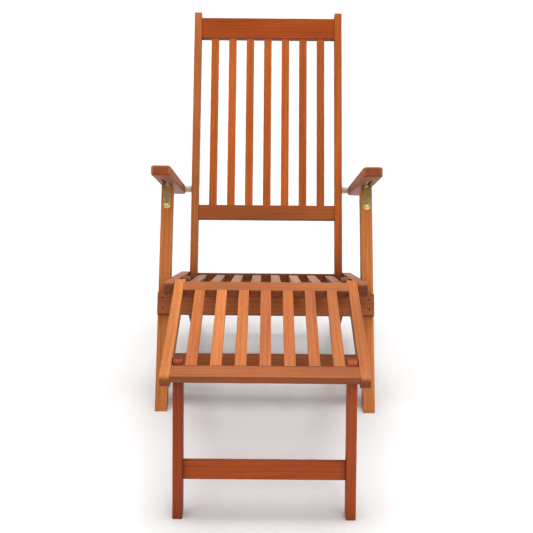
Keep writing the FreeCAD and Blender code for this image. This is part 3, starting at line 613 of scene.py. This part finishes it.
# %% Turn the washer, the spacer and the nut
SHANK_RADIUS = 4 * MM
RING_INNER = 4.1 * MM
RING_OUTER = 9 * MM
WASHER_THICK = 2 * MM
WASHER_CHAMFER = 0.3 * MM
SPACER_LONG = 19 * MM
SPACER_CHAMFER = 0.8 * MM
NUT_DEEP = 6 * MM
NUT_RADIUS = 8 * MM
NUT_CHAMFER = 0.5 * MM


def turned_ring(length, inner, outer, edge):
    """A ring whose four corners are chamfered."""
    return turned([
        (edge, outer), (length - edge, outer), (length, outer - edge), (length, inner + edge),
        (length - edge, inner), (edge, inner), (0, inner + edge), (0, outer - edge),
    ], closed=True)


washer_shape = turned_ring(WASHER_THICK, RING_INNER, RING_OUTER, WASHER_CHAMFER)
spacer_shape = turned_ring(SPACER_LONG, RING_INNER, RING_OUTER, SPACER_CHAMFER)
nut_shape = turned_ring(NUT_DEEP, SHANK_RADIUS, NUT_RADIUS, NUT_CHAMFER)
print("a turned washer has", len(washer_shape.faces), "faces")

# %% [markdown]
# ## A block with eased edges
#
# Flat metal parts start as a block with every edge slightly rounded, as a file or a tumbler leaves them.
# The same helper cuts the rack's plate and its teeth, and it makes the cutter for the screws' slots.

# %% Make a block


def block(lowest, highest, edge=0.0):
    """A box between two corners, with its edges eased by edge."""
    made = bmesh.new()
    low, high = Vector(lowest), Vector(highest)
    place = Matrix.Translation((low + high) / 2) @ Matrix.Diagonal((*(high - low), 1))
    bmesh.ops.create_cube(made, size=1, matrix=place)
    if edge:
        bmesh.ops.bevel(made, geom=list(made.edges), offset=edge, offset_type="OFFSET", segments=2,
                        profile=0.5, affect="EDGES", clamp_overlap=True, material=-1)
    return made


print("an eased block has", len(block((0, 0, 0), (MM, MM, MM), 0.1 * MM).faces), "faces")

# %% [markdown]
# ## Carving one shape with another
#
# Slots, sockets and screw holes are carved with a Boolean modifier, which works on objects.
# So both shapes are put in the scene for a moment, and only the carved mesh is kept.
# The exact solver is slower than the fast one, but it copes with faces that lie in one plane.

# %% Put a mesh in the scene, and carve


def as_object(name, made, finish):
    """Puts a finished mesh into the scene."""
    mesh = bpy.data.meshes.new(name)
    made.to_mesh(mesh)
    mesh.materials.append(finish)
    piece = bpy.data.objects.new(name, mesh)
    bpy.context.scene.collection.objects.link(piece)
    return piece


def carve(made, cutter):
    """Takes the cutter's shape out of the made shape."""
    body = as_object("body to carve", made, steel)
    tool = as_object("cutter", cutter, steel)
    step = body.modifiers.new("carve", "BOOLEAN")
    step.object = tool
    step.operation = "DIFFERENCE"
    step.solver = "EXACT"
    evaluated = body.evaluated_get(bpy.context.evaluated_depsgraph_get())
    result = bmesh.new()
    result.from_mesh(evaluated.to_mesh())
    evaluated.to_mesh_clear()
    for spare in (body, tool):
        mesh = spare.data
        bpy.data.objects.remove(spare)
        bpy.data.meshes.remove(mesh)
    bmesh.ops.recalc_face_normals(result, faces=result.faces)
    return result


notched = carve(block((0, 0, 0), (MM, MM, MM)), block((-MM, -MM, -MM), (MM / 2, MM / 2, MM / 2)))
print("a notched block has", len(notched.faces), "faces")

# %% [markdown]
# ## From shapes to pieces of the chair
#
# A CAD piece such as the seat's bolts holds several copies of one shape, so the copies are joined.
# The piece is then told which part of the chair it rides on, and which CAD piece it stands for.
# A shape that is flipped to the other side turns inside out, so its faces are flipped back.

# %% Gather copies into one piece
SHARP_FROM = math.radians(35)


def gather(name, placed, finish, body, replaced):
    """Joins copies of shapes, each at its matrix, into one piece that stands for a CAD node."""
    whole = bmesh.new()
    for shape, matrix in placed:
        mesh = bpy.data.meshes.new("copy")
        shape.to_mesh(mesh)
        mesh.transform(matrix)
        if matrix.determinant() < 0:
            mesh.flip_normals()
        whole.from_mesh(mesh)
        bpy.data.meshes.remove(mesh)
    piece = as_object(name, whole, finish)
    piece.data.shade_smooth()
    piece.data.set_sharp_from_angle(angle=SHARP_FROM)
    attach(piece, body)
    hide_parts(replaced)
    print(name, "has", len(piece.data.polygons), "faces")


def outward(side, inner, pivot):
    """The matrix that lays a +X part on a pivot, starting at an inner face, on either side."""
    y, z = pivots[pivot]
    return Matrix.Translation((side * inner, y, z)) @ Matrix.Scale(side, 4, (1, 0, 0))


print("edges sharper than", round(math.degrees(SHARP_FROM)), "degrees stay crisp")

# %% [markdown]
# ## Pivot bolts with a hexagon socket
#
# Each pivot has a flat-headed bolt let into the inner face of the wood, tightened with a hexagon key.
# The head is turned with a chamfered rim, then a six-sided cutter sinks the socket.
# The shank runs on through the layers of wood and ends flush with the nut.
# How far each bolt reaches is read from the boards that it holds together.

# %% Turn a bolt
HEAD_RADIUS = 8 * MM
HEAD_DEEP = 4 * MM
SOCKET_RADIUS = 2.9 * MM
SOCKET_DEEP = 2.6 * MM
CHAMFER = 0.6 * MM


def bolt_shape(length):
    """A bolt along +X whose head's face is at nought."""
    made = turned([
        (0, 0), (0, HEAD_RADIUS - CHAMFER), (CHAMFER, HEAD_RADIUS), (HEAD_DEEP, HEAD_RADIUS),
        (HEAD_DEEP, SHANK_RADIUS), (length - CHAMFER, SHANK_RADIUS), (length, SHANK_RADIUS - CHAMFER),
        (length, 0),
    ])
    cutter = bmesh.new()
    sideways = Matrix.Rotation(math.pi / 2, 4, "Y")
    bmesh.ops.create_cone(cutter, cap_ends=True, segments=6, radius1=SOCKET_RADIUS, radius2=SOCKET_RADIUS,
                          depth=2 * SOCKET_DEEP, matrix=sideways)
    return carve(made, cutter)


print("a bolt's head is", HEAD_RADIUS, "metres in radius")

# %% Lay the bolts and nuts on their pivots


def faces_of(node):
    """How far a left-hand piece's inner and outer face are from the middle of the chair."""
    across = [vertex.co.x for vertex in nodes[node].data.vertices]
    return min(across), max(across)


stile_inner, stile_outer = faces_of("backrest_stile_left")
seat_outer = faces_of("seat_rail_left")[1]
leg_outer = faces_of("front_leg_left")[1]
arm_outer = faces_of("armrest_left")[1]
footrest_inner, footrest_outer = faces_of("footrest_rail_left")
foot_leg_inner = faces_of("footrest_leg_left")[0]
BOLTS = [
    ("seat_pivot_bolts", "seat", [("seat", stile_inner, leg_outer), ("back", stile_inner, seat_outer),
                                  ("footrest", footrest_inner, seat_outer)]),
    ("armrest_pivot_bolts", "backrest", [("arm", stile_inner, arm_outer)]),
    ("footrest_leg_bolts", "footrest", [("foot_leg", foot_leg_inner, footrest_outer)]),
]
for node, body, rows in BOLTS:
    placed = [(bolt_shape(outer - inner), outward(side, inner, pivot))
              for pivot, inner, outer in rows for side in SIDES]
    gather("turned_" + node, placed, steel, body, node)
    placed = [(nut_shape, outward(side, outer - NUT_DEEP, pivot))
              for pivot, inner, outer in rows for side in SIDES]
    nuts = node.replace("bolts", "nuts")
    gather("turned_" + nuts, placed, steel, body, nuts)

# %% [markdown]
# ## Washers and spacers
#
# A thin nylon washer keeps the layers of wood from rubbing at each pivot on the seat.
# A longer sleeve of the same nylon holds each armrest off the backrest.

# %% Lay the washers and spacers
WASHERS = [("seat", stile_outer), ("seat", seat_outer), ("back", stile_outer), ("footrest", footrest_outer)]
placed = [(washer_shape, outward(side, inner, pivot)) for pivot, inner in WASHERS for side in SIDES]
gather("turned_washers", placed, nylon, "seat", "seat_pivot_washers")
placed = [(spacer_shape, outward(side, stile_outer, "arm")) for side in SIDES]
gather("turned_spacers", placed, nylon, "backrest", "armrest_spacers")

# %% [markdown]
# ## Brass hook straps
#
# A strap of brass lies on the front of each leg, and its upper end catches in the armrest's notches.
# It is rounded below, so its two lower corners get a wide bevel first and all the edges then get a fine one.
# A screw hole goes through near the round end, and a narrow tongue at the top makes the hook.

# %% Measure the strap in its place
STRAP_LONG = 75 * MM
STRAP_ROUND = 10.9 * MM
TONGUE_LONG = 13 * MM
TONGUE_HALF = 5 * MM
SCREW_ABOVE = 13 * MM
SCREW_RADIUS = 2 * MM
STRAP_EDGE = 0.5 * MM
TONGUE_EDGE = 0.4 * MM
CORNER_SEGMENTS = 12
HOLE_SIDES = 32
RIM_ANGLE = math.radians(40)
strap_near, strap_far = measured("hook_strap_left", "leg")
strap_top = strap_far[1]
strap_low = strap_top - STRAP_LONG
shoulder = strap_top - TONGUE_LONG
screw_up = strap_low + SCREW_ABOVE
strap_thick = strap_far[2] - strap_near[2]
strap_half = (strap_far[0] - strap_near[0]) / 2
leg_middle = (strap_far[0] + strap_near[0]) / 2
print("the straps lie", round(leg_middle, 4), "from the middle, from", round(strap_low, 4), "up the leg")

# %% File the straps


def strap_shape():
    """The strap's plate in its leg's lines: Y along the leg, Z square to it."""
    made = block((-strap_half, strap_low, 0), (strap_half, shoulder, strap_thick))
    corners = [edge for edge in made.edges
               if all(point.co.y < strap_low + JOIN for point in edge.verts)
               and abs(edge.verts[0].co.z - edge.verts[1].co.z) > MM]
    bmesh.ops.bevel(made, geom=corners, offset=STRAP_ROUND, offset_type="OFFSET", segments=CORNER_SEGMENTS,
                    profile=0.5, affect="EDGES", clamp_overlap=True, material=-1)
    rims = [edge for edge in made.edges if edge.calc_face_angle(0) > RIM_ANGLE]
    bmesh.ops.bevel(made, geom=rims, offset=STRAP_EDGE, offset_type="OFFSET", segments=2, profile=0.5,
                    affect="EDGES", clamp_overlap=True, material=-1)
    drill = bmesh.new()
    bmesh.ops.create_cone(drill, cap_ends=True, segments=HOLE_SIDES, radius1=SCREW_RADIUS,
                          radius2=SCREW_RADIUS, depth=4 * strap_thick,
                          matrix=Matrix.Translation((0, screw_up, 0)))
    return carve(made, drill)


tongue = block((-TONGUE_HALF, shoulder - MM, 0), (TONGUE_HALF, strap_top, strap_thick), TONGUE_EDGE)
for side, word in SIDES.items():
    placed = [(shape, on_part("leg", side * leg_middle, 0, 0)) for shape in (strap_shape(), tongue)]
    gather("filed_hook_strap_" + word, placed, brass, "front_legs", "hook_strap_" + word)

# %% [markdown]
# ## Slotted screws
#
# The strap is held by a brass screw with a domed head, and the legs' upper rail by four flush steel ones.
# Each head is a turned profile, with a straight slot carved across it.
# The slots are turned by different amounts, because nobody lines them up on a real chair.

# %% Turn a screw
DOME_STEPS = 5
SLOT_FLOOR_SHARE = 0.35
HAIR = 0.01 * MM


def screw_shape(head_radius, dome, shank, slot_wide, turn):
    """A screw along +X whose head ends at nought, its slot turned by some degrees."""
    angles = [math.pi / 2 * step / DOME_STEPS for step in range(DOME_STEPS + 1)]
    head = [(-dome * math.cos(angle), head_radius * math.sin(angle)) for angle in angles]
    made = turned(head + [(HAIR, SCREW_RADIUS), (shank, SCREW_RADIUS), (shank, 0)])
    slot_low = (-2 * dome, -2 * head_radius, -slot_wide / 2)
    slot_high = (-dome * SLOT_FLOOR_SHARE, 2 * head_radius, slot_wide / 2)
    made = carve(made, block(slot_low, slot_high))
    bmesh.ops.rotate(made, verts=made.verts, matrix=Matrix.Rotation(math.radians(turn), 3, "X"))
    return made


def driven(x, v, w):
    """The matrix that drives a +X screw straight back into the front leg at (x, v, w)."""
    return on_part("leg", x, v, w) @ Matrix.Rotation(math.pi / 2, 4, "Y")


print("a screw's dome has", DOME_STEPS, "steps")

# %% Drive the straps' screws
STRAP_SHANK = 24.5 * MM
STRAP_HEAD = 6 * MM
STRAP_DOME = 2.5 * MM
STRAP_SLOT = 1.2 * MM
STRAP_TURNS = {1: 78, -1: 101}
placed = [(screw_shape(STRAP_HEAD, STRAP_DOME, STRAP_SHANK, STRAP_SLOT, STRAP_TURNS[side]),
           driven(side * leg_middle, screw_up, strap_thick)) for side in SIDES]
gather("turned_strap_screws", placed, brass, "front_legs", "hook_strap_screws")

# %% Drive the rail's screws
RAIL_SHANK = 38 * MM
RAIL_HEAD = 2.8 * MM
RAIL_DOME = 0.5 * MM
RAIL_SLOT = 0.9 * MM
RAIL_TURNS = (20, 64, -35, 110)
ROWS_APART = 26 * MM
screws_near, screws_far = measured("front_leg_rail_screws", "leg")
screws_out = screws_far[0] - RAIL_HEAD
rail_middle = (screws_near[1] + screws_far[1]) / 2
rail_face = measured("front_leg_upper_rail", "leg")[1][2]
rows = (rail_middle - ROWS_APART / 2, rail_middle + ROWS_APART / 2)
holes = [driven(side * screws_out, row, rail_face - RAIL_DOME) for side in SIDES for row in rows]
placed = [(screw_shape(RAIL_HEAD, RAIL_DOME, RAIL_SHANK, RAIL_SLOT, turn), hole)
          for turn, hole in zip(RAIL_TURNS, holes)]
gather("turned_rail_screws", placed, dark_steel, "front_legs", "front_leg_rail_screws")

# %% [markdown]
# ## Notched racks under the armrests
#
# Each armrest has a slot below with a pressed steel rack in it, and the strap's end drops behind a tooth.
# The plate and its teeth are separate eased blocks that overlap, as welded pressings do.

# %% Press the racks
PLATE_THICK = 3 * MM
HOLDING_TOOTH = 117.4 * MM
TOOTH_PITCH = 28 * MM
TOOTH_WIDE = 4 * MM
TEETH_IN_FRONT = 3
TEETH_BEHIND = 1
RACK_EDGE = 0.5 * MM
rack_near, rack_far = measured("armrest_rack_left", "arm")


def rack_blocks():
    """The plate and its teeth, in the armrest's lines."""
    half = (rack_far[0] - rack_near[0]) / 2
    front, tip = rack_near[1:]
    rear, top = rack_far[1:]
    under = top - PLATE_THICK
    parts = [block((-half, front, under), (half, rear, top), RACK_EDGE)]
    for count in range(TEETH_IN_FRONT, -TEETH_BEHIND - 1, -1):
        back = front + HOLDING_TOOTH - count * TOOTH_PITCH
        parts.append(block((-half, back - TOOTH_WIDE, tip), (half, back, under + RACK_EDGE), RACK_EDGE))
    return parts


for side, word in SIDES.items():
    placed = [(part, on_part("arm", side * leg_middle, 0, 0)) for part in rack_blocks()]
    gather("pressed_rack_" + word, placed, steel, word + "_armrest", "armrest_rack_" + word)

# %% [markdown]
# ## A pale floor
#
# A product picture wants a floor that melts into the background, so it is large and nearly white.
# It belongs to the stage and not to the chair.

# %% Lay the floor
FLOOR_HALF = 20.0
FLOOR_CLOUDS = {"stretch": (3.0, 3.0, 3.0), "detail": 3.0, "roughness": 0.5}
FLOOR_STOPS = [(0.3, 0.95), (0.7, 0.98)]
FLOOR_ROUGH = 0.95
floor_shape = bmesh.new()
bmesh.ops.create_grid(floor_shape, x_segments=1, y_segments=1, size=FLOOR_HALF)
floor_finish, floor_tree, floor_shader = start_finish("pale floor")
floor_place = add_node(floor_tree, "ShaderNodeTexCoord").outputs["Object"]
floor_cloud = stretched_noise(floor_tree, floor_place, **FLOOR_CLOUDS)
floor_tree.links.new(add_ramp(floor_tree, floor_cloud, FLOOR_STOPS), floor_shader.inputs["Base Color"])
floor_shader.inputs["Roughness"].default_value = FLOOR_ROUGH
floor_shader.inputs["Specular IOR Level"].default_value = 0.0
floor = as_object("floor", floor_shape, floor_finish)
print("the floor is", 2 * FLOOR_HALF, "metres across")

# %% [markdown]
# ## Glowing walls
#
# The walls of the studio glow and light the upright faces, while its ceiling stays dim.
# A ramp on the height of the view's direction makes both from one background.

# %% Light the walls
WALL_STOPS = [(0.0, 1.0), (0.2, 0.85), (0.5, 0.2), (1.0, 0.12)]
WALL_POWER = 1.2
world = bpy.data.worlds.new("studio")
bpy.context.scene.world = world
world.use_nodes = True
sky = world.node_tree
direction = add_node(sky, "ShaderNodeTexCoord").outputs["Generated"]
height = add_node(sky, "ShaderNodeSeparateXYZ", inputs=[("Vector", direction)]).outputs["Z"]
sky.links.new(add_ramp(sky, height, WALL_STOPS), sky.nodes["Background"].inputs["Color"])
sky.nodes["Background"].inputs["Strength"].default_value = WALL_POWER
print("the walls glow at", WALL_POWER)

# %% [markdown]
# ## Two lamps
#
# A wide lamp above and behind gives one soft shadow, which falls forward under the footrest.
# A weak square lamp in front lifts the faces that the first one leaves dark.

# %% Hang the lamps
WIDE_POWER = 2.7
WIDE_SPREAD = math.radians(40)
WIDE_LEAN = math.radians(-12)
FRONT_PLACE = Vector((0.9, -3.2, 1.6))
FRONT_AIM = Vector((0, 0, 0.5))
FRONT_SIZE = 1.2
FRONT_POWER = 14


def hang(name, kind, power):
    """A lamp in the scene, and its settings."""
    lamp = bpy.data.lights.new(name, kind)
    lamp.energy = power
    made = bpy.data.objects.new(name, lamp)
    bpy.context.scene.collection.objects.link(made)
    return made, lamp


wide, wide_settings = hang("wide lamp above", "SUN", WIDE_POWER)
wide_settings.angle = WIDE_SPREAD
wide.rotation_euler = (WIDE_LEAN, 0, 0)
front, front_settings = hang("lamp in front", "AREA", FRONT_POWER)
front_settings.size = FRONT_SIZE
front.location = FRONT_PLACE
front.rotation_euler = (FRONT_AIM - FRONT_PLACE).to_track_quat("-Z", "Y").to_euler()
print("two lamps hung")

# %% [markdown]
# ## The camera
#
# The view is the one a person has when standing in front of the footrest, looking slightly down.
# The lens is a short telephoto, which keeps the chair's uprights nearly parallel.

# %% Set up the camera
LENS = 81.05
SENSOR = 36.0
LOOK_DOWN = 17.94
LEAN = 0.49
CAMERA_PLACE = (0.0, -2.9153, 1.269)
SHIFT_RIGHT = 0.0008
SHIFT_UP = 0.0015
camera = bpy.data.objects.new("camera", bpy.data.cameras.new("camera"))
bpy.context.scene.collection.objects.link(camera)
camera.data.lens = LENS
camera.data.sensor_width = SENSOR
camera.data.shift_x = SHIFT_RIGHT
camera.data.shift_y = SHIFT_UP
camera.matrix_world = (Matrix.Translation(CAMERA_PLACE)
                       @ Matrix.Rotation(math.radians(90 - LOOK_DOWN), 4, "X")
                       @ Matrix.Rotation(math.radians(LEAN), 4, "Z"))
bpy.context.scene.camera = camera
bpy.context.scene.view_settings.view_transform = "Standard"
print("camera at", CAMERA_PLACE)
